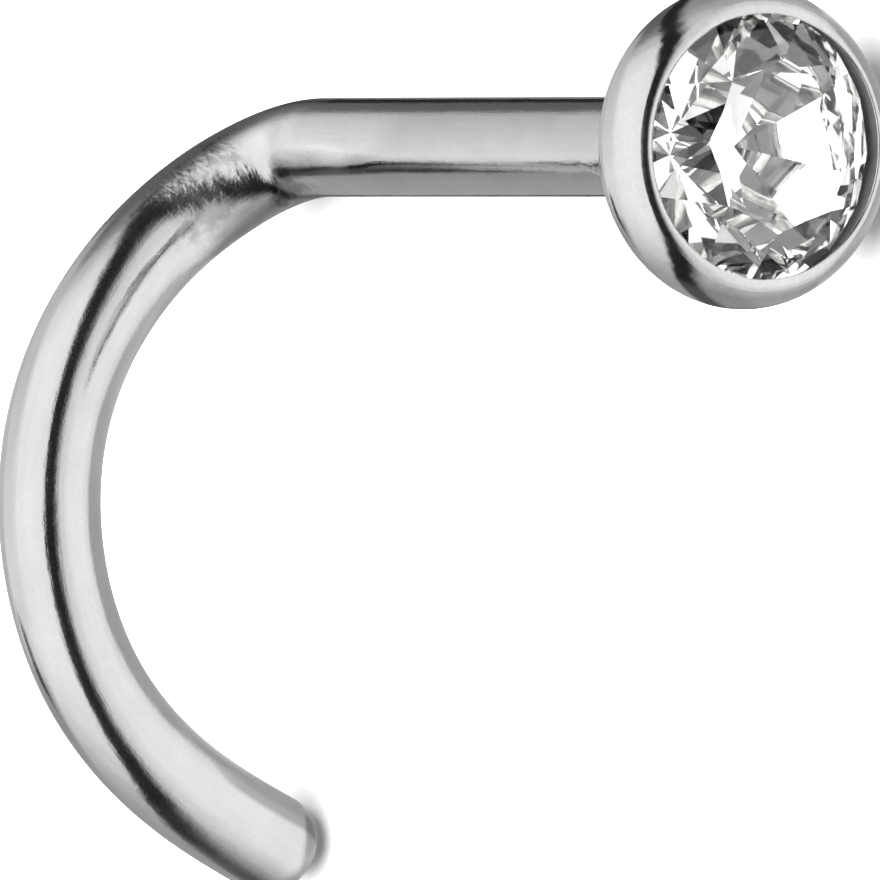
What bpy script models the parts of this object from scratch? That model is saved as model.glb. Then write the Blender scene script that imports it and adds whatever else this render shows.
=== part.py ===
"""Nose stud: a bent wire post with a soldered bezel cup, and a round brilliant-cut stone.

Sizes are in millimetres and become metres when the meshes are made.

Stud frame: the straight post lies along Z. The lip of the cup is the plane z = 0 and faces +Z,
the post runs down -Z to the knee, and the hook lies in a plane square to the post.
The finished stud is turned out of this frame so that it lies on z = 0 by itself, on three
points: the rim of the cup, the knee and the tail of the hook.
"""

import math
from collections import namedtuple

import bmesh
import bpy
from mathutils import Matrix, Vector

MM = 0.001

# ---- wire ----
POST_D = 0.78           # 20 gauge wire, polished down along the post
HOOK_D = 0.81           # the same wire as drawn
POST_LENGTH = 6.49      # from the lip of the cup to where the knee starts
KNEE_LENGTH = 1.10      # length of wire in the quarter-turn knee, along its middle
KNEE_EASE = 0.4         # 0 bends the knee evenly, 1 gathers the bend in its middle
HOOK_HEADING = -150.0   # degrees about +Z, the way the wire leaves the knee
HOOK_LENGTH = 7.01      # from the knee to the end of the tail
TAIL_ROUND = 0.34       # length over which the tail end is rounded
TAIL_FLAT_R = 0.12      # the small flat left in the middle of the tail end

HookStation = namedtuple("HookStation", "share_of_length curvature_per_mm")
HOOK = (
    HookStation(0 / 6, 0.25),
    HookStation(1 / 6, 0.33),
    HookStation(2 / 6, 0.41),
    HookStation(3 / 6, 0.35),
    HookStation(4 / 6, 0.41),
    HookStation(5 / 6, 0.26),
    HookStation(6 / 6, -0.09),
)

# ---- bezel cup: a turned profile, from the middle of the seat, over the lip, to the post ----
CupPoint = namedtuple("CupPoint", "radius depth")
SEAT = (                       # the hollow under the stone
    CupPoint(0.290, 0.940),
    CupPoint(1.130, 0.300),
    CupPoint(1.136, 0.200),    # groove that the girdle sits in
    CupPoint(1.130, 0.090),
    CupPoint(1.106, 0.038),
)
LIP = (                        # the lip, pushed over the edge of the stone
    CupPoint(1.027, -0.007),
    CupPoint(1.035, -0.014),
    CupPoint(1.046, -0.018),
    CupPoint(1.057, -0.019),
    CupPoint(1.068, -0.016),
    CupPoint(1.090, -0.005),
    CupPoint(1.111, 0.009),
    CupPoint(1.131, 0.025),
)
WALL = (                       # the rounded outside
    CupPoint(1.187, 0.087),
    CupPoint(1.228, 0.159),
    CupPoint(1.254, 0.239),
    CupPoint(1.263, 0.322),
    CupPoint(1.250, 0.410),
    CupPoint(1.215, 0.485),
    CupPoint(1.150, 0.590),
    CupPoint(1.060, 0.700),
    CupPoint(0.950, 0.830),
    CupPoint(0.820, 0.965),
    CupPoint(0.680, 1.090),
    CupPoint(0.560, 1.180),
)
SOLDER = (                     # the fillet of solder round the post
    CupPoint(0.485, 1.250),
    CupPoint(0.430, 1.330),
    CupPoint(0.400, 1.430),
)
SEAT_POINT_DEPTH = 1.190       # bottom of the hollow
POST_STARTS = 1.55             # depth at which the plain wire starts

# ---- stone: round brilliant ----
STONE_D = 2.174
STONE_TABLE_ABOVE_LIP = 0.235
STONE_GIRDLE_DEPTH = 0.179     # top edge of the girdle
STONE_GIRDLE_THICK = 0.040
STONE_TABLE_ACROSS = 1.14      # across the flats of the eight-sided table
STONE_STAR_SHARE = 0.216       # how far the star facets reach to the girdle
STONE_LOWER_SHARE = 0.240      # how far the lower girdle facets reach to the culet
STONE_PAVILION_DEG = 39.03
STONE_TURN_DEG = 20.5          # first kite facet, about +Z
STONE_PAVILION_TURN_DEG = -11.34   # the facets below against those above
STONE_TILT_DEG = 2.8           # it sits a little unlevel: its table leans towards +X
STONE_MAINS = 8

# ---- smoothness ----
SIDES = 32                     # round the wire and the cup
GIRDLE_SIDES = 64
POST_RINGS = 4
KNEE_RINGS = 12
HOOK_RINGS = 40
TAIL_RINGS = 5

UP_GUESS = Vector((-1.0, 0.0, 0.0))   # the side of the stud that faces up when it lies

Ring = namedtuple("Ring", "centre tangent side radius")


def between(stations, share):
    """Curvature at a share of the hook's length, straight from one station to the next."""
    for a, b in zip(stations, stations[1:]):
        if share <= b.share_of_length:
            mix = (share - a.share_of_length) / (b.share_of_length - a.share_of_length)
            return a.curvature_per_mm + mix * (b.curvature_per_mm - a.curvature_per_mm)
    return stations[-1].curvature_per_mm


def post_rings():
    down, side = Vector((0, 0, -1)), heading(HOOK_HEADING)
    run = POST_LENGTH - POST_STARTS
    return [
        Ring(Vector((0, 0, -POST_STARTS - run * i / POST_RINGS)), down, side, POST_D / 2)
        for i in range(POST_RINGS)
    ]


def heading(degrees):
    angle = math.radians(degrees)
    return Vector((math.cos(angle), math.sin(angle), 0.0))


def knee_direction(share):
    """(tangent, side) in the knee: it turns from -Z to the hook's heading, most in the middle."""
    turned = math.pi / 2 * (share - KNEE_EASE * math.sin(2 * math.pi * share) / (2 * math.pi))
    down, out = Vector((0, 0, -1)), heading(HOOK_HEADING)
    tangent = math.cos(turned) * down + math.sin(turned) * out
    return tangent, math.cos(turned) * out - math.sin(turned) * down


def knee_rings():
    rings, place, steps = [], Vector((0, 0, -POST_LENGTH)), 20
    for i in range(KNEE_RINGS):
        tangent, side = knee_direction(i / KNEE_RINGS)
        thick = POST_D + (HOOK_D - POST_D) * i / KNEE_RINGS
        rings.append(Ring(place.copy(), tangent, side, thick / 2))
        for j in range(steps):
            share = (i + (j + 0.5) / steps) / KNEE_RINGS
            place += knee_direction(share)[0] * KNEE_LENGTH / KNEE_RINGS / steps
    return rings, place


def hook_rings(start):
    """The planar hook, its tail end rounded down to the small flat."""
    rings, place, angle, steps = [], start.copy(), math.radians(HOOK_HEADING), 20
    marks = [HOOK_LENGTH - TAIL_ROUND]
    marks = [marks[0] * i / HOOK_RINGS for i in range(HOOK_RINGS + 1)]
    flat_angle = math.asin(TAIL_FLAT_R / (HOOK_D / 2))
    for i in range(1, TAIL_RINGS + 1):
        along = (math.pi / 2 - flat_angle) * i / TAIL_RINGS
        marks.append(HOOK_LENGTH - TAIL_ROUND + TAIL_ROUND * math.sin(along) / math.cos(flat_angle))
    done = 0.0
    for mark in marks:
        step = (mark - done) / steps
        for j in range(steps if step else 0):
            share = (done + (j + 0.5) * step) / HOOK_LENGTH
            angle += between(HOOK, share) * step / 2
            place += Vector((math.cos(angle), math.sin(angle), 0)) * step
            angle += between(HOOK, share) * step / 2
        done = mark
        into_round = max(0.0, mark - (HOOK_LENGTH - TAIL_ROUND)) / TAIL_ROUND * math.cos(flat_angle)
        radius = HOOK_D / 2 * math.sqrt(max(0.0, 1 - into_round**2))
        tangent = Vector((math.cos(angle), math.sin(angle), 0))
        rings.append(Ring(place.copy(), tangent, Vector((0, 0, 1)), radius))
    return rings


def cup_rings():
    down, side = Vector((0, 0, -1)), heading(HOOK_HEADING)
    return [
        Ring(Vector((0, 0, -point.depth)), down, side, point.radius)
        for point in SEAT + LIP + WALL + SOLDER
    ]


def swept_mesh(name, first_point, rings, sides):
    """A closed skin over the rings, from a point to a flat end."""
    bm = bmesh.new()
    loops = []
    for ring in rings:
        across = ring.tangent.cross(ring.side)
        loops.append([
            bm.verts.new(MM * (ring.centre + ring.radius * (
                math.cos(2 * math.pi * i / sides) * ring.side
                + math.sin(2 * math.pi * i / sides) * across
            )))
            for i in range(sides)
        ])
    tip = bm.verts.new(MM * first_point)
    for i in range(sides):
        bm.faces.new((tip, loops[0][i], loops[0][(i + 1) % sides]))
    for near, far in zip(loops, loops[1:]):
        for i in range(sides):
            j = (i + 1) % sides
            bm.faces.new((near[i], far[i], far[j], near[j]))
    bm.faces.new(loops[-1])
    bmesh.ops.recalc_face_normals(bm, faces=bm.faces)
    mesh = bpy.data.meshes.new(name)
    bm.to_mesh(mesh)
    bm.free()
    return mesh


def cut(bm, azimuth, tilt, distance):
    """One facet: cuts away what lies beyond the plane whose normal has this azimuth and tilt above
    the girdle plane, at this distance from the middle of the stone."""
    normal = Vector((
        math.cos(azimuth) * math.cos(tilt), math.sin(azimuth) * math.cos(tilt), math.sin(tilt)
    ))
    everything = bm.verts[:] + bm.edges[:] + bm.faces[:]
    result = bmesh.ops.bisect_plane(
        bm, geom=everything, plane_co=normal * distance, plane_no=normal, dist=1e-6, clear_outer=True
    )
    rim = [item for item in result["geom_cut"] if isinstance(item, bmesh.types.BMEdge)]
    bmesh.ops.contextual_create(bm, geom=rim)


def brilliant_mesh(name):
    """The stone, cut as a real one is: a round blank, then a plane for each facet.
    Lengths in millimetres from the middle of its girdle's top edge, turned to metres at the end."""
    girdle_r, half = STONE_D / 2, math.pi / STONE_MAINS
    table_corner_r = STONE_TABLE_ACROSS / 2 / math.cos(half)
    crown_h = STONE_TABLE_ABOVE_LIP + STONE_GIRDLE_DEPTH
    crown = math.atan2(crown_h, girdle_r - table_corner_r)
    pavilion = math.radians(STONE_PAVILION_DEG)
    pavilion_h = girdle_r * math.tan(pavilion)
    bm = bmesh.new()
    bmesh.ops.create_cone(
        bm, cap_ends=True, segments=GIRDLE_SIDES, radius1=girdle_r, radius2=girdle_r,
        depth=4.0, matrix=Matrix.Rotation(math.radians(STONE_TURN_DEG), 4, "Z"),
    )
    first, below = math.radians(STONE_TURN_DEG), math.radians(STONE_PAVILION_TURN_DEG)

    def facet(azimuth, slope, through_r, through_z, up):
        """A plane of this slope from the girdle plane, through radius and height at its azimuth."""
        tilt = up * (math.pi / 2 - slope)
        normal_r, normal_z = math.cos(tilt), math.sin(tilt)
        cut(bm, azimuth, tilt, through_r * normal_r + through_z * normal_z)

    # Crown: kites from the table's corners to the girdle.
    star_r = STONE_TABLE_ACROSS / 2 + STONE_STAR_SHARE * (girdle_r - STONE_TABLE_ACROSS / 2)
    star_z = (girdle_r - star_r * math.cos(half)) * math.tan(crown)
    star_slope = math.atan2(crown_h - star_z, star_r - STONE_TABLE_ACROSS / 2)
    upper_slope = math.atan2(star_z, (girdle_r - star_r) * math.cos(half / 2))
    # Pavilion: mains under the kites, lower girdle facets between them.
    lower_r = (1 - STONE_LOWER_SHARE) * girdle_r
    lower_z = (girdle_r - lower_r * math.cos(half)) * math.tan(pavilion)
    lower_slope = math.atan2(lower_z, (girdle_r - lower_r) * math.cos(half / 2))
    cut(bm, 0.0, math.pi / 2, crown_h)
    for k in range(STONE_MAINS):
        main = first + 2 * half * k
        facet(main, crown, girdle_r, 0.0, 1)
        facet(main + below, pavilion, girdle_r, -STONE_GIRDLE_THICK, -1)
        facet(main + half, star_slope, STONE_TABLE_ACROSS / 2, crown_h, 1)
        for side in (-half / 2, half / 2):
            facet(main + side, upper_slope, girdle_r * math.cos(half / 2), 0.0, 1)
            facet(main + below + side, lower_slope, girdle_r * math.cos(half / 2), -STONE_GIRDLE_THICK, -1)
    bmesh.ops.recalc_face_normals(bm, faces=bm.faces)
    bmesh.ops.transform(
        bm, verts=bm.verts,
        matrix=Matrix.Scale(MM, 4) @ Matrix.Rotation(math.radians(STONE_TILT_DEG), 4, "Y")
        @ Matrix.Translation((0, 0, -STONE_GIRDLE_DEPTH)),
    )
    mesh = bpy.data.meshes.new(name)
    bm.to_mesh(mesh)
    bm.free()
    return mesh


def resting_matrix(metal, stone, cup_count, knee_from, tail_from, sides):
    """Turns the stud so that the lowest points of its cup, knee and tail share a plane below it,
    with the post's direction along +X, and stands it on z = 0, centred."""
    points = [v.co.copy() for v in metal.vertices]
    groups = (
        points[: cup_count * sides],
        points[knee_from * sides : tail_from * sides],
        points[tail_from * sides : -1],
    )
    up = UP_GUESS.normalized()
    for _ in range(50):
        a, b, c = (min(group, key=up.dot) for group in groups)
        normal = (b - a).cross(c - a).normalized()
        if normal.dot(up) < 0:
            normal.negate()
        if (normal - up).length < 1e-9:
            break
        up = normal
    post = Vector((0, 0, 1))
    along = (post - up * post.dot(up)).normalized()
    turn = Matrix((along, up.cross(along), up)).to_4x4()
    turned = [turn @ p for p in points + [v.co for v in stone.vertices]]
    low = Vector([min(p[i] for p in turned) for i in range(3)])
    high = Vector([max(p[i] for p in turned) for i in range(3)])
    return Matrix.Translation((-(low.x + high.x) / 2, -(low.y + high.y) / 2, -low.z)) @ turn


def material(name, colour, metallic, roughness, transmission=0.0, ior=1.5):
    made = bpy.data.materials.new(name)
    made.use_nodes = True
    made.diffuse_color = (*colour, 1.0)
    shader = made.node_tree.nodes["Principled BSDF"]
    shader.inputs["Base Color"].default_value = (*colour, 1.0)
    shader.inputs["Metallic"].default_value = metallic
    shader.inputs["Roughness"].default_value = roughness
    shader.inputs["Transmission Weight"].default_value = transmission
    shader.inputs["IOR"].default_value = ior
    return made


def piece(name, mesh, look, parent):
    obj = bpy.data.objects.new(name, mesh)
    bpy.context.scene.collection.objects.link(obj)
    obj.parent = parent
    mesh.materials.append(look)
    return obj


def main():
    for obj in list(bpy.data.objects):
        bpy.data.objects.remove(obj, do_unlink=True)

    cup = cup_rings()
    post = post_rings()
    knee, knee_end = knee_rings()
    hook = hook_rings(knee_end)
    rings = cup + post + knee + hook
    metal = swept_mesh("wire_and_setting", Vector((0, 0, -SEAT_POINT_DEPTH)), rings, SIDES)
    metal.shade_smooth()
    metal.set_sharp_from_angle(angle=math.radians(35))
    stone = brilliant_mesh("stone")

    frame = bpy.data.objects.new("stud_frame", None)
    frame.empty_display_size = 2 * MM
    bpy.context.scene.collection.objects.link(frame)
    knee_from = len(cup) + len(post)
    tail_from = knee_from + len(knee) + len(hook) // 2
    frame.matrix_world = resting_matrix(
        metal, stone, len(cup), knee_from, tail_from, SIDES
    )

    steel = material("polished_steel", (0.62, 0.61, 0.59), 1.0, 0.16)
    crystal = material("clear_crystal", (0.98, 0.98, 0.98), 0.0, 0.0, transmission=1.0, ior=1.76)
    piece("wire_and_setting", metal, steel, frame)
    piece("stone", stone, crystal, frame)


main()
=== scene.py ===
"""Looks of the nose stud: smooth polished steel wire and cup, and a faceted stone, lying on a pale floor."""
import math
from collections import namedtuple

import bmesh
import bpy
import numpy as np
from mathutils import Matrix, Vector, noise


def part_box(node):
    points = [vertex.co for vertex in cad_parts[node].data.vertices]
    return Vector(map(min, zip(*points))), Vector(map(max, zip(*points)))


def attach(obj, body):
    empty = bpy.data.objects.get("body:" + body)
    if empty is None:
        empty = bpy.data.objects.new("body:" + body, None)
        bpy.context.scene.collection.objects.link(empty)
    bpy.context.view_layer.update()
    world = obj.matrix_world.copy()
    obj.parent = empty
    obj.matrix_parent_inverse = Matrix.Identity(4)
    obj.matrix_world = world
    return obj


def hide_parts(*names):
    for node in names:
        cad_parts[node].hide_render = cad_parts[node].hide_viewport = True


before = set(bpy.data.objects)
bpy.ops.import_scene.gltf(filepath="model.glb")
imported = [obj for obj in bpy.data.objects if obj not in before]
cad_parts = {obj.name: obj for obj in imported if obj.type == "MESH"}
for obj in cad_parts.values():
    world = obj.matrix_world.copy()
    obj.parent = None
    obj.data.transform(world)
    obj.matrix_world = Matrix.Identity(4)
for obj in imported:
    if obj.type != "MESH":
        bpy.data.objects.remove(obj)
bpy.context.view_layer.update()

MM = 0.001

# ---------------------------------------------------------------- driving sizes, as in the construction, in mm
POST_D = 0.78
HOOK_D = 0.81
POST_LENGTH = 6.49
KNEE_LENGTH = 1.10
KNEE_EASE = 0.4
HOOK_HEADING = -150.0
HOOK_LENGTH = 7.01
TAIL_ROUND = 0.34
TAIL_FLAT_R = 0.12
POST_STARTS = 1.55
SEAT_POINT_DEPTH = 1.190

HookStation = namedtuple("HookStation", "share_of_length curvature_per_mm")
HOOK = (
    HookStation(0 / 6, 0.25),
    HookStation(1 / 6, 0.33),
    HookStation(2 / 6, 0.41),
    HookStation(3 / 6, 0.35),
    HookStation(4 / 6, 0.41),
    HookStation(5 / 6, 0.26),
    HookStation(6 / 6, -0.09),
)

# The turned profile of the cup, from the seat, over the lip, to the post: radius and depth behind the lip plane.
CupPoint = namedtuple("CupPoint", "radius depth")
SEAT = (
    CupPoint(0.290, 0.940),
    CupPoint(1.130, 0.300),
    CupPoint(1.136, 0.200),
    CupPoint(1.130, 0.090),
    CupPoint(1.106, 0.038),
)
LIP = (
    CupPoint(1.027, -0.007),
    CupPoint(1.035, -0.014),
    CupPoint(1.046, -0.018),
    CupPoint(1.057, -0.019),
    CupPoint(1.068, -0.016),
    CupPoint(1.090, -0.005),
    CupPoint(1.111, 0.009),
    CupPoint(1.131, 0.025),
)
WALL = (
    CupPoint(1.187, 0.087),
    CupPoint(1.228, 0.159),
    CupPoint(1.254, 0.239),
    CupPoint(1.263, 0.322),
    CupPoint(1.250, 0.410),
    CupPoint(1.215, 0.485),
    CupPoint(1.150, 0.590),
    CupPoint(1.060, 0.700),
    CupPoint(0.950, 0.830),
    CupPoint(0.820, 0.965),
    CupPoint(0.680, 1.090),
    CupPoint(0.560, 1.180),
)
SOLDER = (
    CupPoint(0.485, 1.250),
    CupPoint(0.430, 1.330),
    CupPoint(0.400, 1.430),
)

STONE_D = 2.174
STONE_TABLE_ABOVE_LIP = 0.235
STONE_GIRDLE_DEPTH = 0.179
STONE_GIRDLE_THICK = 0.040
STONE_TABLE_ACROSS = 1.14
STONE_STAR_SHARE = 0.216
STONE_LOWER_SHARE = 0.240
STONE_PAVILION_DEG = 39.03
STONE_TURN_DEG = 20.5
STONE_PAVILION_TURN_DEG = -11.34
STONE_TILT_DEG = 2.8
STONE_MAINS = 8

CAD_SIDES = 32
CAD_GIRDLE_SIDES = 64
UP_GUESS = Vector((-1.0, 0.0, 0.0))

Ring = namedtuple("Ring", "centre tangent side radius")


# ---------------------------------------------------------------- the wire's line and rings
def between(stations, share):
    for a, b in zip(stations, stations[1:]):
        if share <= b.share_of_length:
            mix = (share - a.share_of_length) / (b.share_of_length - a.share_of_length)
            return a.curvature_per_mm + mix * (b.curvature_per_mm - a.curvature_per_mm)
    return stations[-1].curvature_per_mm


def heading(degrees):
    angle = math.radians(degrees)
    return Vector((math.cos(angle), math.sin(angle), 0.0))


def knee_direction(share):
    turned = math.pi / 2 * (share - KNEE_EASE * math.sin(2 * math.pi * share) / (2 * math.pi))
    down, out = Vector((0, 0, -1)), heading(HOOK_HEADING)
    return (
        math.cos(turned) * down + math.sin(turned) * out,
        math.cos(turned) * out - math.sin(turned) * down,
    )


def post_rings(count):
    down, side = Vector((0, 0, -1)), heading(HOOK_HEADING)
    run = POST_LENGTH - POST_STARTS
    return [
        Ring(Vector((0, 0, -POST_STARTS - run * i / count)), down, side, POST_D / 2)
        for i in range(count)
    ]


def knee_rings(count):
    rings, place, steps = [], Vector((0, 0, -POST_LENGTH)), max(2, 240 // count)
    for i in range(count):
        tangent, side = knee_direction(i / count)
        thick = POST_D + (HOOK_D - POST_D) * i / count
        rings.append(Ring(place.copy(), tangent, side, thick / 2))
        for j in range(steps):
            place += knee_direction((i + (j + 0.5) / steps) / count)[0] * KNEE_LENGTH / count / steps
    return rings, place


def hook_rings(start, count, tail_count, flat_r=TAIL_FLAT_R):
    rings, place, angle = [], start.copy(), math.radians(HOOK_HEADING)
    steps = max(2, 800 // count)
    flat_angle = math.asin(flat_r / (HOOK_D / 2))
    marks = [(HOOK_LENGTH - TAIL_ROUND) * i / count for i in range(count + 1)]
    for i in range(1, tail_count + 1):
        along = (math.pi / 2 - flat_angle) * i / tail_count
        marks.append(HOOK_LENGTH - TAIL_ROUND + TAIL_ROUND * math.sin(along) / math.cos(flat_angle))
    done = 0.0
    for mark in marks:
        step = (mark - done) / steps
        for j in range(steps if step else 0):
            share = (done + (j + 0.5) * step) / HOOK_LENGTH
            angle += between(HOOK, share) * step / 2
            place += Vector((math.cos(angle), math.sin(angle), 0)) * step
            angle += between(HOOK, share) * step / 2
        done = mark
        into_round = max(0.0, mark - (HOOK_LENGTH - TAIL_ROUND)) / TAIL_ROUND * math.cos(flat_angle)
        radius = HOOK_D / 2 * math.sqrt(max(0.0, 1 - into_round**2))
        rings.append(Ring(place.copy(), Vector((math.cos(angle), math.sin(angle), 0)), Vector((0, 0, 1)), radius))
    return rings


def swept_points(rings, sides):
    """(rings, sides, 3) array of points in the stud frame, in mm."""
    turn = np.arange(sides) * 2 * math.pi / sides
    out = np.empty((len(rings), sides, 3))
    for k, ring in enumerate(rings):
        across = np.array(ring.tangent.cross(ring.side))
        out[k] = (
            np.array(ring.centre)
            + ring.radius * (np.cos(turn)[:, None] * np.array(ring.side) + np.sin(turn)[:, None] * across)
        )
    return out


def catmull(points, per_span, closed_ends=True):
    """A smooth line through the points, so that the cup's profile has no corners between them."""
    p = np.array([(q.radius, q.depth) for q in points])
    p = np.vstack([2 * p[0] - p[1], p, 2 * p[-1] - p[-2]])
    out = []
    for i in range(1, len(p) - 2):
        a, b, c, d = p[i - 1 : i + 3]
        # centripetal parameters keep the line from overshooting where the spacing changes
        t0 = 0.0
        t1 = t0 + math.sqrt(np.linalg.norm(b - a))
        t2 = t1 + math.sqrt(np.linalg.norm(c - b))
        t3 = t2 + math.sqrt(np.linalg.norm(d - c))
        for j in range(per_span):
            t = t1 + (t2 - t1) * j / per_span
            a1 = (t1 - t) / (t1 - t0) * a + (t - t0) / (t1 - t0) * b
            a2 = (t2 - t) / (t2 - t1) * b + (t - t1) / (t2 - t1) * c
            a3 = (t3 - t) / (t3 - t2) * c + (t - t2) / (t3 - t2) * d
            b1 = (t2 - t) / (t2 - t0) * a1 + (t - t0) / (t2 - t0) * a2
            b2 = (t3 - t) / (t3 - t1) * a2 + (t - t1) / (t3 - t1) * a3
            out.append((t2 - t) / (t2 - t1) * b1 + (t - t1) / (t2 - t1) * b2)
    out.append(p[-2])
    return [CupPoint(float(r), float(t)) for r, t in out]


def cup_rings(points):
    down, side = Vector((0, 0, -1)), heading(HOOK_HEADING)
    return [Ring(Vector((0, 0, -q.depth)), down, side, q.radius) for q in points]


# ---------------------------------------------------------------- the stone
def cut(bm, azimuth, tilt, distance):
    normal = Vector((
        math.cos(azimuth) * math.cos(tilt), math.sin(azimuth) * math.cos(tilt), math.sin(tilt)
    ))
    everything = bm.verts[:] + bm.edges[:] + bm.faces[:]
    result = bmesh.ops.bisect_plane(
        bm, geom=everything, plane_co=normal * distance, plane_no=normal, dist=1e-6, clear_outer=True
    )
    rim = [item for item in result["geom_cut"] if isinstance(item, bmesh.types.BMEdge)]
    bmesh.ops.contextual_create(bm, geom=rim)


def brilliant(bm, girdle_sides):
    """Cuts a round blank with a plane for each facet. The stone is left in mm in the stud frame."""
    girdle_r, half = STONE_D / 2, math.pi / STONE_MAINS
    table_corner_r = STONE_TABLE_ACROSS / 2 / math.cos(half)
    crown_h = STONE_TABLE_ABOVE_LIP + STONE_GIRDLE_DEPTH
    crown = math.atan2(crown_h, girdle_r - table_corner_r)
    pavilion = math.radians(STONE_PAVILION_DEG)
    first = math.radians(STONE_TURN_DEG)
    below = math.radians(STONE_PAVILION_TURN_DEG)
    bmesh.ops.create_cone(
        bm, cap_ends=True, segments=girdle_sides, radius1=girdle_r, radius2=girdle_r,
        depth=4.0, matrix=Matrix.Rotation(first, 4, "Z"),
    )

    def facet(azimuth, slope, through_r, through_z, up):
        tilt = up * (math.pi / 2 - slope)
        cut(bm, azimuth, tilt, through_r * math.cos(tilt) + through_z * math.sin(tilt))

    star_r = STONE_TABLE_ACROSS / 2 + STONE_STAR_SHARE * (girdle_r - STONE_TABLE_ACROSS / 2)
    star_z = (girdle_r - star_r * math.cos(half)) * math.tan(crown)
    star_slope = math.atan2(crown_h - star_z, star_r - STONE_TABLE_ACROSS / 2)
    upper_slope = math.atan2(star_z, (girdle_r - star_r) * math.cos(half / 2))
    lower_r = (1 - STONE_LOWER_SHARE) * girdle_r
    lower_z = (girdle_r - lower_r * math.cos(half)) * math.tan(pavilion)
    lower_slope = math.atan2(lower_z, (girdle_r - lower_r) * math.cos(half / 2))
    cut(bm, 0.0, math.pi / 2, crown_h)
    for k in range(STONE_MAINS):
        main = first + 2 * half * k
        facet(main, crown, girdle_r, 0.0, 1)
        facet(main + below, pavilion, girdle_r, -STONE_GIRDLE_THICK, -1)
        facet(main + half, star_slope, STONE_TABLE_ACROSS / 2, crown_h, 1)
        for side in (-half / 2, half / 2):
            facet(main + side, upper_slope, girdle_r * math.cos(half / 2), 0.0, 1)
            facet(main + below + side, lower_slope, girdle_r * math.cos(half / 2), -STONE_GIRDLE_THICK, -1)
    bmesh.ops.recalc_face_normals(bm, faces=bm.faces)
    bmesh.ops.transform(
        bm, verts=bm.verts,
        matrix=Matrix.Rotation(math.radians(STONE_TILT_DEG), 4, "Y") @ Matrix.Translation((0, 0, -STONE_GIRDLE_DEPTH)),
    )


# ---------------------------------------------------------------- how the stud lies
def resting_matrix(metal_points, stone_points, cup_count, knee_from, tail_from, sides):
    """The same turn as in the construction, found from the same coarse rings. Points in metres."""
    points = [Vector(p) for p in metal_points]
    groups = (points[: cup_count * sides], points[knee_from * sides : tail_from * sides], points[tail_from * sides :])
    up = UP_GUESS.normalized()
    for _ in range(50):
        a, b, c = (min(group, key=up.dot) for group in groups)
        normal = (b - a).cross(c - a).normalized()
        if normal.dot(up) < 0:
            normal.negate()
        if (normal - up).length < 1e-9:
            break
        up = normal
    post = Vector((0, 0, 1))
    along = (post - up * post.dot(up)).normalized()
    turn = Matrix((along, up.cross(along), up)).to_4x4()
    turned = [turn @ p for p in points + [Vector(p) for p in stone_points]]
    low = Vector([min(p[i] for p in turned) for i in range(3)])
    high = Vector([max(p[i] for p in turned) for i in range(3)])
    return Matrix.Translation((-(low.x + high.x) / 2, -(low.y + high.y) / 2, -low.z)) @ turn


cad_cup = cup_rings(SEAT + LIP + WALL + SOLDER)
cad_post = post_rings(4)
cad_knee, cad_end = knee_rings(12)
cad_hook = hook_rings(cad_end, 40, 5)
cad_points = swept_points(cad_cup + cad_post + cad_knee + cad_hook, CAD_SIDES).reshape(-1, 3) * MM
cad_stone = bmesh.new()
brilliant(cad_stone, CAD_GIRDLE_SIDES)
cad_stone_points = [v.co * MM for v in cad_stone.verts]
cad_stone.free()
knee_from = len(cad_cup) + len(cad_post)
STUD = resting_matrix(
    cad_points, cad_stone_points, len(cad_cup), knee_from,
    knee_from + len(cad_knee) + len(cad_hook) // 2, CAD_SIDES,
)
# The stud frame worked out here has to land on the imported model.
low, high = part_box("wire_and_setting")
placed = np.array([STUD @ Vector(p) for p in cad_points])
off = max(np.abs(placed.min(0) - np.array(low)).max(), np.abs(placed.max(0) - np.array(high)).max())
print("stud frame is off the packed model by %.6f mm" % (off / MM))
assert off < 2e-5, "the stud frame has moved from the packed model"


# ---------------------------------------------------------------- node helpers
def add(tree, kind, **values):
    node = tree.nodes.new(kind)
    for key, value in values.items():
        setattr(node, key, value)
    return node


def link(tree, source, target):
    tree.links.new(source, target)


def maths(tree, operation, a, b=None, clamp=False):
    node = add(tree, "ShaderNodeMath", operation=operation, use_clamp=clamp)
    for socket, value in zip(node.inputs, (a, b)):
        if value is None:
            continue
        if isinstance(value, (int, float)):
            socket.default_value = value
        else:
            link(tree, value, socket)
    return node.outputs[0]


def mapped(tree, value, from_min, from_max, to_min=0.0, to_max=1.0, kind="LINEAR"):
    node = add(tree, "ShaderNodeMapRange", interpolation_type=kind)
    link(tree, value, node.inputs["Value"])
    for name, number in (("From Min", from_min), ("From Max", from_max), ("To Min", to_min), ("To Max", to_max)):
        node.inputs[name].default_value = number
    return node.outputs["Result"]


def curve_of(tree, value, low, high, stops, scale=1.0):
    """A smooth curve through (position, level) stops, positions from low to high."""
    ramp = add(tree, "ShaderNodeValToRGB")
    ramp.color_ramp.interpolation = "EASE"
    elements = ramp.color_ramp.elements
    while len(elements) < len(stops):
        elements.new(0.5)
    for element, (position, level) in zip(elements, sorted(stops)):
        element.position = (position - low) / (high - low)
    for element, (position, level) in zip(elements, sorted(stops)):
        element.color = (level / scale, level / scale, level / scale, 1.0)
    link(tree, mapped(tree, value, low, high), ramp.inputs["Fac"])
    out = add(tree, "ShaderNodeSeparateColor")
    link(tree, ramp.outputs["Color"], out.inputs[0])
    return maths(tree, "MULTIPLY", out.outputs[0], scale)


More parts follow.
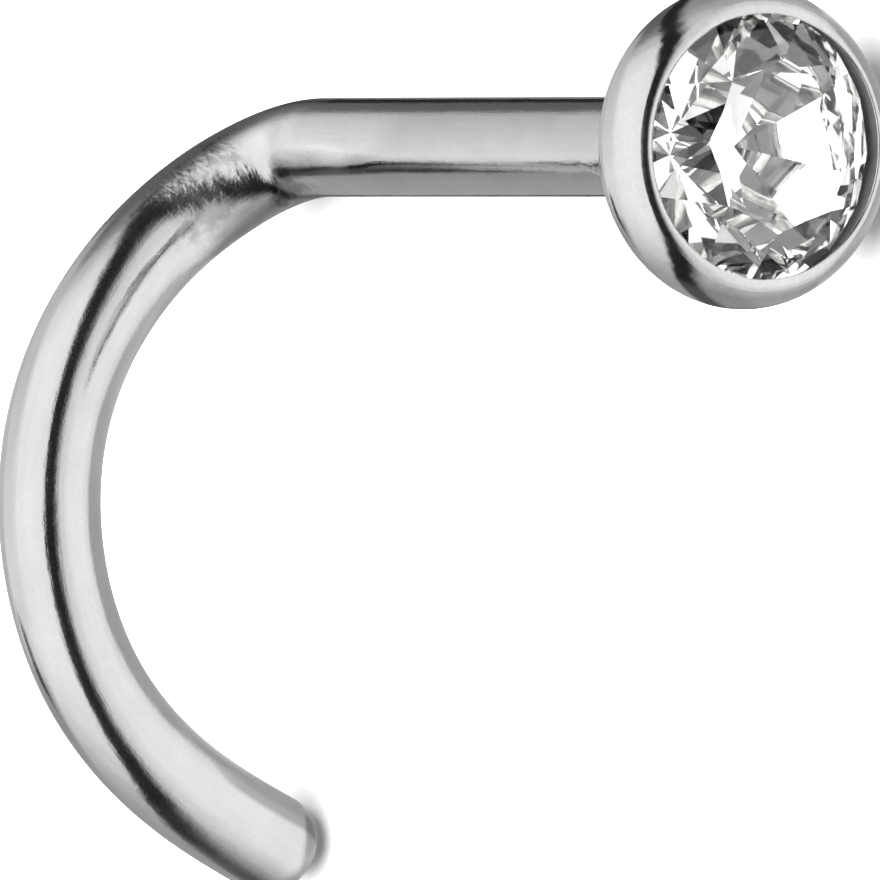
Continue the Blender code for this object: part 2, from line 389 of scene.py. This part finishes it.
# ---------------------------------------------------------------- camera, at the photo's angle
# Directions of the picture's right, up and towards the camera, in the stud frame.
PICTURE_RIGHT = Vector((0.85319, 0.00684, 0.52156))
PICTURE_UP = Vector((-0.00423, 0.99997, -0.00620))
PICTURE_BACK = Vector((-0.52158, 0.00308, 0.85320))
PX_PER_MM = 128.0
SENSOR = 36.0
LENS = 1400.0
DISTANCE = 880 / PX_PER_MM / SENSOR * LENS       # mm, where 128 px are 1 mm
LIP_AT = (2.5109, 2.2684, 3.0)                   # middle of the lip plane from the picture's centre, mm

stud_turn = STUD.to_3x3()
view_axes = Matrix((PICTURE_RIGHT, PICTURE_UP, PICTURE_BACK))      # stud frame to picture frame
view_axes = Matrix([row.normalized() for row in view_axes])
to_world = (stud_turn @ view_axes.transposed()).to_quaternion().to_matrix()
camera_from_lip = Vector((0, 0, DISTANCE)) - Vector(LIP_AT)
camera_data = bpy.data.cameras.new("photo_camera")
camera_data.lens = LENS
camera_data.sensor_width = SENSOR
camera_data.clip_start = 0.02
camera_data.clip_end = 10.0
camera = bpy.data.objects.new("photo_camera", camera_data)
bpy.context.scene.collection.objects.link(camera)
camera.matrix_world = Matrix.Translation(STUD.translation + to_world @ (camera_from_lip * MM)) @ to_world.to_4x4()
bpy.context.scene.camera = camera
RIGHT, UPWARD, TOWARDS = (to_world @ Vector(v) for v in ((1, 0, 0), (0, 1, 0), (0, 0, 1)))

# ---------------------------------------------------------------- pieces
SIDES = 128
profile = (
    catmull(SEAT[:2], 6)[:-1] + catmull(SEAT[1:], 4)[:-1]
    + catmull((SEAT[-1],) + LIP[:1], 3)[:-1] + catmull(LIP + WALL + SOLDER, 6)
)
cup = cup_rings(profile)
post = post_rings(60)
knee, knee_end = knee_rings(48)
hook = hook_rings(knee_end, 200, 24, 0.03)
rings = cup + post + knee + hook
grid = swept_points(rings, SIDES)

mesh = bpy.data.meshes.new("steel_wire_and_cup")
bm = bmesh.new()
loops = [[bm.verts.new(STUD @ (Vector(p) * MM)) for p in row] for row in grid]
tip = bm.verts.new(STUD @ Vector((0, 0, -SEAT_POINT_DEPTH * MM)))
end_centre = bm.verts.new(sum((v.co for v in loops[-1]), Vector()) / SIDES)
for i in range(SIDES):
    j = (i + 1) % SIDES
    bm.faces.new((tip, loops[0][i], loops[0][j]))
    bm.faces.new((end_centre, loops[-1][j], loops[-1][i]))
for near, far in zip(loops, loops[1:]):
    for i in range(SIDES):
        j = (i + 1) % SIDES
        bm.faces.new((near[i], far[i], far[j], near[j]))
bmesh.ops.recalc_face_normals(bm, faces=bm.faces)
bm.to_mesh(mesh)
bm.free()
mesh.shade_smooth()

# Where each point lies: along the wire from the lip (mm), and round it.
along = np.zeros(len(rings))
for k in range(1, len(rings)):
    along[k] = along[k - 1] + (rings[k].centre - rings[k - 1].centre).length
lip_at = along[len(cup) - 1] - 1.43
around = np.arange(SIDES) / SIDES
attribute = mesh.attributes.new("wire_coords", "FLOAT_VECTOR", "POINT")
values = np.zeros((len(mesh.vertices), 3), np.float32)
grid_values = np.zeros((len(rings), SIDES, 3), np.float32)
grid_values[..., 0] = (along - lip_at)[:, None]
grid_values[..., 1] = np.cos(2 * math.pi * around)[None, :] * HOOK_D / 2
grid_values[..., 2] = np.sin(2 * math.pi * around)[None, :] * HOOK_D / 2
values[: len(rings) * SIDES] = grid_values.reshape(-1, 3)
values[len(rings) * SIDES :, 0] = (0.0, (along - lip_at)[-1])
attribute.data.foreach_set("vector", values.ravel())

# The jaws that bent the knee left its skin flatter than its line: the skin turns later than the wire does.
Skin = namedtuple("Skin", "run degrees")
SKIN = (
    Skin(5.70, 0), Skin(6.10, 1.5), Skin(6.40, 4.5), Skin(6.62, 8), Skin(6.76, 13), Skin(6.95, 25), Skin(7.08, 37),
    Skin(7.16, 43), Skin(7.27, 49),
    Skin(7.40, 53), Skin(7.59, 57), Skin(7.80, 64), Skin(8.00, 73), Skin(8.20, 83), Skin(8.40, 89), Skin(8.55, 90),
)
skin_normals = np.zeros((len(mesh.vertices), 3), np.float32)
down = Vector((0, 0, -1))
runs = along - lip_at
fine = np.linspace(SKIN[0].run - 0.3, SKIN[-1].run + 0.3, 600)
turned = np.interp(fine, [k.run for k in SKIN], [k.degrees for k in SKIN])
turned = np.convolve(np.pad(turned, 20, mode="edge"), np.ones(41) / 41, mode="valid")
for k in range(len(cup), len(rings)):
    if not SKIN[0].run < runs[k] < SKIN[-1].run:
        continue
    turn = math.radians(float(np.interp(runs[k], fine, turned)))
    out = heading(HOOK_HEADING) if k < len(cup) + len(post) + len(knee) else rings[k].tangent
    side = math.cos(turn) * out - math.sin(turn) * down
    across = down.cross(out)
    for i in range(SIDES):
        a = 2 * math.pi * i / SIDES
        skin_normals[k * SIDES + i] = (STUD.to_3x3() @ (math.cos(a) * side + math.sin(a) * across)).normalized()
mesh.normals_split_custom_set_from_vertices(skin_normals.tolist())

steel_piece = bpy.data.objects.new("steel_wire_and_cup", mesh)
bpy.context.scene.collection.objects.link(steel_piece)

gem_mesh = bpy.data.meshes.new("clear_stone")
bm = bmesh.new()
brilliant(bm, 128)
bmesh.ops.transform(bm, verts=bm.verts, matrix=STUD @ Matrix.Scale(MM, 4))
bm.to_mesh(gem_mesh)
bm.free()
stone_up = (STUD.to_3x3() @ Matrix.Rotation(math.radians(STONE_TILT_DEG), 3, "Y")) @ Vector((0, 0, 1))
gem_piece = bpy.data.objects.new("clear_stone", gem_mesh)
bpy.context.scene.collection.objects.link(gem_piece)

# ---------------------------------------------------------------- materials
def steel_material():
    made = bpy.data.materials.new("polished_surgical_steel")
    made.use_nodes = True
    tree = made.node_tree
    shader = tree.nodes["Principled BSDF"]
    coords = add(tree, "ShaderNodeAttribute", attribute_name="wire_coords")
    obj = add(tree, "ShaderNodeTexCoord")

    def stretched(scale, source):
        node = add(tree, "ShaderNodeMapping")
        link(tree, source, node.inputs["Vector"])
        node.inputs["Scale"].default_value = scale
        return node.outputs["Vector"]

    def noise_of(vector, scale, detail, roughness=0.55, distortion=0.0):
        node = add(tree, "ShaderNodeTexNoise")
        link(tree, vector, node.inputs["Vector"])
        node.inputs["Scale"].default_value = scale
        node.inputs["Detail"].default_value = detail
        node.inputs["Roughness"].default_value = roughness
        node.inputs["Distortion"].default_value = distortion
        return node.outputs["Fac"]

    wire = coords.outputs["Vector"]
    split = add(tree, "ShaderNodeSeparateXYZ")
    link(tree, wire, split.inputs[0])
    run, round_a, round_b = split.outputs

    # fine drawing lines along the wire, cloudy polish, and grain
    lines = noise_of(stretched((0.30, 5.0, 5.0), wire), 6.0, 4.0)
    cloud = noise_of(stretched((1.0, 1.6, 1.6), wire), 2.2, 4.0)
    grain = noise_of(stretched((1.0, 1.0, 1.0), wire), 60.0, 3.0)
    # plier marks across the wire round the knee
    marks = noise_of(stretched((3.6, 2.5, 2.5), wire), 3.6, 2.0, 0.5, 0.3)
    near_knee = maths(tree, "MULTIPLY",
        mapped(tree, run, 7.25, 7.5, 0.0, 1.0, "SMOOTHSTEP"),
        mapped(tree, run, 8.0, 8.35, 1.0, 0.0, "SMOOTHSTEP"))
    near_knee = maths(tree, "MULTIPLY", near_knee, mapped(tree, round_b, -0.02, 0.12, 0.0, 1.0, "SMOOTHSTEP"))
    near_knee = maths(tree, "MULTIPLY", near_knee, mapped(tree, round_b, 0.34, 0.40, 1.0, 0.25, "SMOOTHSTEP"))
    near_knee = maths(tree, "MULTIPLY", near_knee,
        mapped(tree, noise_of(stretched((1.5, 1.0, 1.0), wire), 2.6, 1.0), 0.36, 0.56, 0.35, 1.0, "SMOOTHSTEP"))
    # small solder pits by the cup
    pits = add(tree, "ShaderNodeTexVoronoi", feature="F1")
    link(tree, wire, pits.inputs["Vector"])
    pits.inputs["Scale"].default_value = 22.0
    pit = mapped(tree, pits.outputs["Distance"], 0.12, 0.42, 0.0, 1.0, "SMOOTHSTEP")
    near_cup = maths(tree, "MULTIPLY",
        mapped(tree, run, 1.15, 1.5, 0.0, 1.0, "SMOOTHSTEP"),
        mapped(tree, run, 1.7, 2.3, 1.0, 0.0, "SMOOTHSTEP"))
    patch = mapped(tree, noise_of(wire, 2.0, 1.0), 0.48, 0.62, 0.0, 1.0, "SMOOTHSTEP")
    near_cup = maths(tree, "MULTIPLY", near_cup, patch)

    height = maths(tree, "MULTIPLY", lines, 0.07)
    height = maths(tree, "ADD", height, maths(tree, "MULTIPLY", cloud, 0.35))
    height = maths(tree, "ADD", height, maths(tree, "MULTIPLY", grain, 0.035))
    height = maths(tree, "ADD", height, maths(tree, "MULTIPLY", maths(tree, "MULTIPLY", marks, near_knee), 0.55))
    height = maths(tree, "ADD", height, maths(tree, "MULTIPLY", maths(tree, "MULTIPLY", pit, near_cup), 0.40))
    bump = add(tree, "ShaderNodeBump")
    bump.inputs["Strength"].default_value = 1.0
    bump.inputs["Distance"].default_value = 0.012 * MM
    link(tree, height, bump.inputs["Height"])
    link(tree, bump.outputs["Normal"], shader.inputs["Normal"])

    # patches placed by run and turn round the wire, used below for painted shade, painted reflections and painted
    # highlights in the steel's colour
    def spot(at_run, half_run, at_degrees, half_degrees, ragged):
        turn = maths(tree, "MULTIPLY", maths(tree, "ARCTAN2", round_b, round_a), 180 / math.pi)
        a = maths(tree, "DIVIDE", maths(tree, "SUBTRACT", run, at_run), half_run)
        b = maths(tree, "DIVIDE", maths(tree, "SUBTRACT", turn, at_degrees), half_degrees)
        away = maths(tree, "SQRT", maths(tree, "ADD", maths(tree, "MULTIPLY", a, a), maths(tree, "MULTIPLY", b, b)))
        rough_edge = maths(tree, "MULTIPLY", maths(tree, "SUBTRACT", noise_of(wire, 9.0, 2.0), 0.5), ragged)
        return mapped(tree, maths(tree, "ADD", away, rough_edge), 0.35, 1.1, 1.0, 0.0, "SMOOTHSTEP")

    # painted shade and painted reflection: the crease on the inside of the knee and the end of the dark line on the
    # post, darkened in the base colour
    knee_painted_crease_shade = maths(tree, "MAXIMUM", spot(7.10, 0.28, -24.0, 30.0, 1.0), spot(7.43, 0.11, 9.0, 8.0, 1.4))
    knee_painted_crease_shade = maths(tree, "MAXIMUM", knee_painted_crease_shade, spot(6.75, 0.30, 2.0, 7.0, 0.7))

    # painted reflections: three darker patches in the base colour round the knee, standing for dark reflections in the
    # bend
    knee_mid_painted_reflection = spot(7.55, 0.80, -34.0, 44.0, 0.5)
    knee_start_painted_reflection = spot(6.82, 0.52, -20.0, 22.0, 1.3)
    knee_end_painted_reflection = spot(7.95, 0.45, 3.0, 20.0, 1.3)
    # painted reflection: a dark line in the base colour along the inside of the post, and painted highlights on the
    # skin beside it
    turn = maths(tree, "MULTIPLY", maths(tree, "ARCTAN2", round_b, round_a), 180 / math.pi)
    line_at = curve_of(tree, run, 3.0, 7.0, [(3.0, 15.0), (4.2, 15.5), (4.9, 16.0), (5.8, 12.0), (6.5, 11.0), (7.0, 11.0)], 30.0)
    line_at = maths(tree, "SUBTRACT", line_at, 11.0)
    from_line = maths(tree, "ABSOLUTE", maths(tree, "SUBTRACT", turn, line_at))
    # painted reflection: the dark line along the post, darkened in the base colour
    post_line_painted_reflection = mapped(tree, maths(tree, "ADD", from_line, maths(tree, "MULTIPLY", maths(tree, "SUBTRACT", cloud, 0.5), 3.0)), 3.8, 9.0, 1.0, 0.0, "SMOOTHSTEP")
    post_line_painted_reflection = maths(tree, "MULTIPLY", post_line_painted_reflection, mapped(tree, run, 3.2, 4.6, 0.0, 1.0, "SMOOTHSTEP"))
    post_line_painted_reflection = maths(tree, "MULTIPLY", post_line_painted_reflection, mapped(tree, run, 6.75, 7.0, 1.0, 0.0, "SMOOTHSTEP"))
    # painted highlights: lighter base colour on the post beside the knee
    post_painted_highlight = spot(6.15, 0.75, 19.0, 16.0, 0.3)
    post_side_painted_highlight = maths(tree, "ADD", spot(6.05, 1.25, 52.0, 52.0, 0.2), maths(tree, "MULTIPLY", spot(6.56, 0.20, 45.0, 55.0, 0.2), 0.5))
    # painted shade: the inside of the tail end is darkened in the base colour
    past_edge = maths(tree, "SUBTRACT", turn, mapped(tree, run, 12.9, 13.6, 0.0, 20.0, "SMOOTHSTEP"))
    tail_inside_painted_shade = maths(tree, "MULTIPLY",
        mapped(tree, turn, -130.0, -100.0, 0.0, 1.0, "SMOOTHSTEP"), mapped(tree, past_edge, -45.0, -36.0, 1.0, 0.0, "SMOOTHSTEP"))
    tail_inside_painted_shade = maths(tree, "MULTIPLY", tail_inside_painted_shade, mapped(tree, run, 12.8, 13.8, 0.0, 1.0, "SMOOTHSTEP"))

    tone = mapped(tree, cloud, 0.3, 0.7, 0.90, 1.0)
    # the painted shade, painted reflections and painted highlights darken or lighten the steel's base colour here
    tone = maths(tree, "MULTIPLY", tone, mapped(tree, knee_mid_painted_reflection, 0.0, 1.0, 1.0, 0.58))
    tone = maths(tree, "MULTIPLY", tone, mapped(tree, knee_start_painted_reflection, 0.0, 1.0, 1.0, 0.48))
    tone = maths(tree, "MULTIPLY", tone, mapped(tree, knee_end_painted_reflection, 0.0, 1.0, 1.0, 0.68))
    tone = maths(tree, "MULTIPLY", tone, mapped(tree, post_line_painted_reflection, 0.0, 1.0, 1.0, 0.38))
    tone = maths(tree, "MULTIPLY", tone, mapped(tree, post_painted_highlight, 0.0, 1.0, 1.0, 1.30))
    tone = maths(tree, "MULTIPLY", tone, maths(tree, "ADD", maths(tree, "MULTIPLY", post_side_painted_highlight, 0.22), 1.0))
    # how deep the painted shade inside the tail end goes
    tail_painted_shade_amount = maths(tree, "MULTIPLY", tail_inside_painted_shade, mapped(tree, turn, -52.0, -36.0, 0.14, 0.43, "SMOOTHSTEP"))
    tone = maths(tree, "MULTIPLY", tone, maths(tree, "SUBTRACT", 1.0, tail_painted_shade_amount))
    tone = maths(tree, "MULTIPLY", tone, mapped(tree, knee_painted_crease_shade, 0.0, 1.0, 1.0, 0.36))
    tone = maths(tree, "MULTIPLY", tone, mapped(tree, grain, 0.25, 0.75, 0.93, 1.02))
    tone = maths(tree, "MULTIPLY", tone, mapped(tree, lines, 0.3, 0.7, 0.965, 1.0))
    bruised = maths(tree, "MULTIPLY", near_knee, mapped(tree, marks, 0.42, 0.56, 1.0, 0.0, "SMOOTHSTEP"))
    tone = maths(tree, "MULTIPLY", tone, mapped(tree, bruised, 0.0, 1.0, 1.0, 0.70))
    tone = maths(tree, "MINIMUM", tone, 1.28)
    colour = add(tree, "ShaderNodeMix", data_type="RGBA", clamp_factor=False)
    link(tree, tone, colour.inputs["Factor"])
    colour.inputs["A"].default_value = (0.0, 0.0, 0.0, 1.0)
    colour.inputs["B"].default_value = (0.742, 0.740, 0.734, 1.0)
    link(tree, colour.outputs["Result"], shader.inputs["Base Color"])
    rough = mapped(tree, cloud, 0.3, 0.7, 0.09, 0.14)
    rough = maths(tree, "ADD", rough, mapped(tree, grain, 0.3, 0.7, -0.02, 0.03))
    rough = maths(tree, "ADD", rough, maths(tree, "MULTIPLY", near_knee, 0.12))
    bend_start = maths(tree, "MULTIPLY",
        mapped(tree, run, 6.1, 6.5, 0.0, 1.0, "SMOOTHSTEP"), mapped(tree, run, 6.9, 7.3, 1.0, 0.0, "SMOOTHSTEP"))
    rough = maths(tree, "ADD", rough, maths(tree, "MULTIPLY", bend_start, 0.13))
    rough = maths(tree, "ADD", rough, maths(tree, "MULTIPLY", post_painted_highlight, 0.16))
    # the tail end is less polished
    rough = maths(tree, "ADD", rough, mapped(tree, run, 12.7, 14.3, 0.0, 0.11, "SMOOTHSTEP"))
    # the hollow under the lip is left matt and bright
    hollow = mapped(tree, run, -0.10, -0.05, 1.0, 0.0, "SMOOTHSTEP")
    rough = maths(tree, "ADD", rough, maths(tree, "MULTIPLY", hollow, 0.65))
    link(tree, mapped(tree, hollow, 0.0, 1.0, 1.0, 0.72), shader.inputs["Metallic"])
    link(tree, rough, shader.inputs["Roughness"])
    return made


def gem_material():
    made = bpy.data.materials.new("clear_brilliant")
    made.use_nodes = True
    tree = made.node_tree
    shader = tree.nodes["Principled BSDF"]
    shader.inputs["Base Color"].default_value = (0.96, 0.96, 0.958, 1.0)
    shader.inputs["Transmission Weight"].default_value = 1.0
    shader.inputs["IOR"].default_value = 1.76
    # polishing haze, far too fine to see as lines
    haze = add(tree, "ShaderNodeTexNoise")
    link(tree, add(tree, "ShaderNodeTexCoord").outputs["Object"], haze.inputs["Vector"])
    haze.inputs["Scale"].default_value = 6000.0
    link(tree, mapped(tree, haze.outputs["Fac"], 0.35, 0.65, 0.0, 0.008), shader.inputs["Roughness"])
    return made


def silvering_material():
    """The mirror coat on the back facets, slightly crinkled."""
    made = bpy.data.materials.new("silvered_back")
    made.use_nodes = True
    tree = made.node_tree
    shader = tree.nodes["Principled BSDF"]
    shader.inputs["Metallic"].default_value = 1.0
    coat = add(tree, "ShaderNodeTexNoise")
    coords = add(tree, "ShaderNodeTexCoord").outputs["Object"]
    link(tree, coords, coat.inputs["Vector"])
    coat.inputs["Scale"].default_value = 2600.0
    coat.inputs["Detail"].default_value = 3.0
    coat.inputs["Distortion"].default_value = 1.2
    shade = add(tree, "ShaderNodeMix", data_type="RGBA")
    link(tree, mapped(tree, coat.outputs["Fac"], 0.35, 0.65), shade.inputs["Factor"])
    shade.inputs["A"].default_value = (0.90, 0.90, 0.895, 1.0)
    shade.inputs["B"].default_value = (0.97, 0.97, 0.965, 1.0)
    link(tree, shade.outputs["Result"], shader.inputs["Base Color"])
    link(tree, mapped(tree, coat.outputs["Fac"], 0.35, 0.65, 0.03, 0.012), shader.inputs["Roughness"])
    return made


steel_piece.data.materials.append(steel_material())
gem_piece.data.materials.append(gem_material())
gem_piece.data.materials.append(silvering_material())
for face in gem_mesh.polygons:
    face.material_index = 1 if face.normal.dot(stone_up) < -0.1 else 0
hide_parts("wire_and_setting")
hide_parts("stone")
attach(steel_piece, "root")
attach(gem_piece, "root")

# ---------------------------------------------------------------- floor
bm = bmesh.new()
bmesh.ops.create_circle(bm, cap_ends=True, segments=96, radius=0.5)
floor_mesh = bpy.data.meshes.new("floor")
bm.to_mesh(floor_mesh)
bm.free()
floor = bpy.data.objects.new("floor", floor_mesh)
bpy.context.scene.collection.objects.link(floor)
floor.visible_glossy = False
paint = bpy.data.materials.new("pale_floor")
paint.use_nodes = True
paint.node_tree.nodes["Principled BSDF"].inputs["Base Color"].default_value = (0.86, 0.86, 0.86, 1.0)
paint.node_tree.nodes["Principled BSDF"].inputs["Roughness"].default_value = 1.0
paint.node_tree.nodes["Principled BSDF"].inputs["Specular IOR Level"].default_value = 0.0
floor.data.materials.append(paint)

# ---------------------------------------------------------------- light: white panels with a dark gap
# The stud lies between large white panels, over a grey bench. A direction is named by its angles from
# the photo's view: degrees to the picture's right and degrees up. Levels are of white light.
Stop = namedtuple("Stop", "degrees level")
LEFT_PANEL_ACROSS = (
    Stop(-110, 1.05), Stop(-90, 1.22), Stop(-75, 1.34), Stop(-45, 1.40), Stop(-15, 1.34), Stop(0, 1.25),
)
LEFT_PANEL_UP = (
    Stop(-165, 0.34), Stop(-120, 0.36), Stop(-105, 0.41), Stop(-90, 0.54), Stop(-75, 0.72), Stop(-60, 0.88),
    Stop(-40, 1.00), Stop(45, 1.00), Stop(62, 0.86), Stop(76, 0.58), Stop(88, 0.24), Stop(100, 0.13),
    Stop(135, 0.10), Stop(165, 0.30),
)
LEFT_BACK_UP = (
    Stop(-150, 0.40), Stop(-110, 0.46), Stop(-82, 0.42), Stop(-66, 0.50), Stop(-52, 1.05), Stop(-25, 1.16),
    Stop(0, 1.06), Stop(25, 0.96), Stop(52, 0.86), Stop(84, 0.74), Stop(98, 0.60), Stop(112, 0.20), Stop(150, 0.16),
)
LEFT_FAR_UP = (
    Stop(-150, 0.50), Stop(-110, 0.47), Stop(-85, 0.44), Stop(-60, 0.56), Stop(-40, 0.66), Stop(0, 0.78),
    Stop(50, 0.74), Stop(90, 0.60), Stop(105, 0.34), Stop(120, 0.20), Stop(150, 0.18),
)
RIGHT_PANEL_ACROSS = (
    Stop(0, 1.06), Stop(25, 1.08), Stop(45, 1.34), Stop(75, 1.38), Stop(95, 1.20),
)
RIGHT_PANEL_UP = (
    Stop(-165, 0.26), Stop(-135, 0.37), Stop(-105, 0.37), Stop(-90, 0.52), Stop(-75, 0.78), Stop(-58, 0.98),
    Stop(0, 1.00), Stop(58, 1.00), Stop(75, 0.84), Stop(90, 0.56), Stop(110, 0.40), Stop(165, 0.36),
)
RIGHT_BACK_UP = (
    Stop(-150, 0.70), Stop(-110, 0.66), Stop(-80, 0.56), Stop(-50, 0.74), Stop(-20, 0.64), Stop(10, 0.56),
    Stop(60, 0.55), Stop(85, 0.60), Stop(110, 0.85), Stop(150, 0.95),
)
GAP_AT = (
    Stop(-150, -24), Stop(-105, -24), Stop(-90, -18), Stop(-75, -9), Stop(-60, -3), Stop(-40, 0), Stop(25, 0),
    Stop(45, -5), Stop(60, -11), Stop(75, -22), Stop(90, -36), Stop(110, -46), Stop(150, -50),
)
GAP_LEVEL = 0.028
PANEL_GAIN = 1.04
STRIP_MIDDLE = -131.0    # degrees about the post's direction
STRIP_HALF = 12.5
BACKGROUND = 1.0

world = bpy.data.worlds.new("light_panels")
bpy.context.scene.world = world
world.use_nodes = True
tree = world.node_tree
tree.nodes.clear()
geometry = add(tree, "ShaderNodeTexCoord")


def component(axis):
    node = add(tree, "ShaderNodeVectorMath", operation="DOT_PRODUCT")
    link(tree, geometry.outputs["Generated"], node.inputs[0])
    node.inputs[1].default_value = axis
    return node.outputs["Value"]


def blend(amount, a, b):
    node = add(tree, "ShaderNodeMix", data_type="FLOAT")
    for socket, value in zip((node.inputs[0], node.inputs[2], node.inputs[3]), (amount, a, b)):
        if isinstance(value, (int, float)):
            socket.default_value = value
        else:
            link(tree, value, socket)
    return node.outputs[0]


def by_angle(angle, stops, offset=0.0, scale=2.0):
    return curve_of(tree, angle, stops[0].degrees, stops[-1].degrees, [(s.degrees, s.level + offset) for s in stops], scale)


x, y, z = component(RIGHT), component(UPWARD), component(TOWARDS)
z = maths(tree, "MAXIMUM", maths(tree, "MINIMUM", z, 0.9999), -0.9999)
away = maths(tree, "MULTIPLY", maths(tree, "ARCCOSINE", z), 180 / math.pi)
flat = maths(tree, "ADD", maths(tree, "MULTIPLY", x, x), maths(tree, "MULTIPLY", y, y))
flat = maths(tree, "SQRT", maths(tree, "ADD", flat, 1e-8))
across_deg = maths(tree, "MULTIPLY", away, maths(tree, "DIVIDE", x, flat))
up_deg = maths(tree, "MULTIPLY", away, maths(tree, "DIVIDE", y, flat))
left = maths(tree, "MULTIPLY", by_angle(across_deg, LEFT_PANEL_ACROSS), by_angle(up_deg, LEFT_PANEL_UP))
left = blend(mapped(tree, across_deg, -96.0, -78.0, 1.0, 0.0, "SMOOTHSTEP"), left, by_angle(up_deg, LEFT_BACK_UP))
left = blend(mapped(tree, across_deg, -134.0, -121.0, 1.0, 0.0, "SMOOTHSTEP"), left, by_angle(up_deg, LEFT_FAR_UP))
right = maths(tree, "MULTIPLY", by_angle(across_deg, RIGHT_PANEL_ACROSS), by_angle(up_deg, RIGHT_PANEL_UP))
right = blend(mapped(tree, across_deg, 93.0, 101.0, 0.0, 1.0, "SMOOTHSTEP"), right, by_angle(up_deg, RIGHT_BACK_UP))
gap = maths(tree, "SUBTRACT", by_angle(up_deg, GAP_AT, 60.0, 100.0), 60.0)
from_gap = maths(tree, "SUBTRACT", across_deg, gap)
left_share = mapped(tree, from_gap, -14.5, -8.5, 1.0, 0.0, "SMOOTHSTEP")
right_share = mapped(tree, from_gap, 8.0, 25.0, 0.0, 1.0, "SMOOTHSTEP")
level = maths(tree, "ADD", maths(tree, "MULTIPLY", left, left_share), maths(tree, "MULTIPLY", right, right_share))
# a narrow black strip behind, which the post mirrors as a line along its lower side
along_post = component(stud_turn @ Vector((0, 0, 1)))
ahead, aside = (component(stud_turn @ heading(STRIP_MIDDLE + turn)) for turn in (0.0, 90.0))
from_middle = maths(tree, "ABSOLUTE", maths(tree, "MULTIPLY", maths(tree, "ARCTAN2", aside, ahead), 180 / math.pi))
strip = maths(tree, "MULTIPLY",
    mapped(tree, from_middle, STRIP_HALF - 3.0, STRIP_HALF + 4.0, 1.0, 0.0, "SMOOTHSTEP"),
    mapped(tree, maths(tree, "ABSOLUTE", maths(tree, "ADD", along_post, 0.8532)), 0.040, 0.070, 1.0, 0.0, "SMOOTHSTEP"))
level = maths(tree, "MULTIPLY", level, mapped(tree, strip, 0.0, 1.0, 1.0, 0.06))
level = maths(tree, "ADD", maths(tree, "MULTIPLY", level, PANEL_GAIN), GAP_LEVEL)
# the gap fills with light from the bench towards the bottom
level = maths(tree, "MAXIMUM", level, mapped(tree, up_deg, -112.0, -92.0, 0.125, 0.0, "SMOOTHSTEP"))
path = add(tree, "ShaderNodeLightPath")
# light that comes out of the stone is gathered from deeper contrasts
gathered = maths(tree, "MULTIPLY", maths(tree, "POWER", level, 1.8), 1.38)
level = blend(path.outputs["Is Transmission Ray"], level, gathered)
level = blend(path.outputs["Is Camera Ray"], level, BACKGROUND)
shine = add(tree, "ShaderNodeBackground")
link(tree, level, shine.inputs["Strength"])
out = add(tree, "ShaderNodeOutputWorld")
link(tree, shine.outputs[0], out.inputs["Surface"])

# A wide soft lamp straight over the floor keeps it white; it leaves no mirror image in the metal or the stone.
lamp_data = bpy.data.lights.new("overhead", "AREA")
lamp_data.shape = "DISK"
lamp_data.size = 0.30
lamp_data.energy = 1.4
lamp = bpy.data.objects.new("overhead", lamp_data)
lamp.location = (0.0, 0.0, 0.20)
lamp.visible_glossy = False
lamp.visible_transmission = False
lamp.visible_camera = False
bpy.context.scene.collection.objects.link(lamp)

# ---------------------------------------------------------------- picture
scene = bpy.context.scene
scene.view_settings.view_transform = "Standard"
scene.view_settings.look = "None"
scene.cycles.max_bounces = 24
scene.cycles.glossy_bounces = 16
scene.cycles.transmission_bounces = 24
scene.cycles.diffuse_bounces = 4
